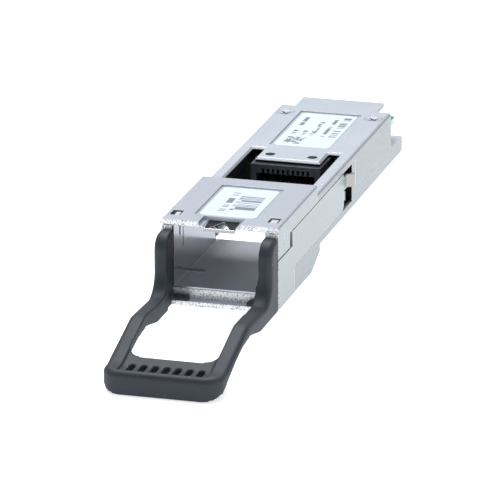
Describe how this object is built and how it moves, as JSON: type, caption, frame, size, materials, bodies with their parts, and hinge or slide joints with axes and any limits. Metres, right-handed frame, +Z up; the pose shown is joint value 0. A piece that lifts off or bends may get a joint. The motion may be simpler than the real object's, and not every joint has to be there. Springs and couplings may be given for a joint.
{
  "type": "pluggable module adapter",
  "caption": "Pluggable adapter module with a card edge at the rear, a bay for a smaller plug-in module at the front, a spring latch and a sliding pull handle.",
  "frame": {"origin": "middle of the bottom of the whole module's box, under the middle of its length", "axes": "+Y along the module from the pull handle to the card edge, +Z up, X across the width"},
  "size_m": [0.0204, 0.104, 0.017],
  "materials": {
    "cast_zinc": "nickel-plated zinc die casting, fine satin",
    "cover_steel": "nickel-plated sheet steel, satin, bright sheared edges",
    "slider_steel": "nickel-plated sheet steel, satin",
    "liner_steel": "bare stainless sheet, rolled",
    "spring_steel": "stainless spring steel, bright",
    "handle_plastic": "moulded blue-grey thermoplastic, matt grained",
    "board_laminate": "glass-epoxy laminate with green mask",
    "gold_plate": "gold-plated copper alloy",
    "connector_plastic": "black moulded liquid-crystal polymer",
    "chip_plastic": "black epoxy moulding compound",
    "ceramic": "sintered ceramic with tinned ends",
    "screw_steel": "nickel-plated steel",
    "label_film": "printed polyester label film"
  },
  "bodies": {
    "root": {"lower_housing": "cast_zinc", "upper_housing": "cast_zinc", "head_cover": "cover_steel", "bay_liner": "liner_steel", "return_spring_right": "spring_steel", "return_spring_left": "spring_steel", "circuit_board": "board_laminate", "card_pads_upper": "gold_plate", "card_pads_lower": "gold_plate", "connector_contacts_upper": "gold_plate", "connector_contacts_lower": "gold_plate", "connector_housing": "connector_plastic", "id_memory": "chip_plastic", "microcontroller": "chip_plastic", "coupling_capacitors": "ceramic", "cover_screws": "screw_steel", "head_label": "label_film", "rear_label": "label_film"},
    "puller": {"slider_bracket": "slider_steel", "pull_handle": "handle_plastic"},
    "latch": {"latch_leaf": "spring_steel"}
  },
  "joints": [
    {"name": "release_slide", "type": "slide", "parent": "root", "child": "puller", "axis": [0, -1, 0], "range_m": [0, 0.0014], "stiffness_N_per_m": 300, "springref_m": -0.002, "deforming": ["return_spring_right", "return_spring_left"]},
    {"name": "leaf_flex", "type": "hinge", "parent": "root", "child": "latch", "pos_m": [0, -0.0181, 0.0163], "axis": [-1, 0, 0], "range_deg": [0, 12], "stiffness_Nm_per_rad": 0.02}
  ]
}
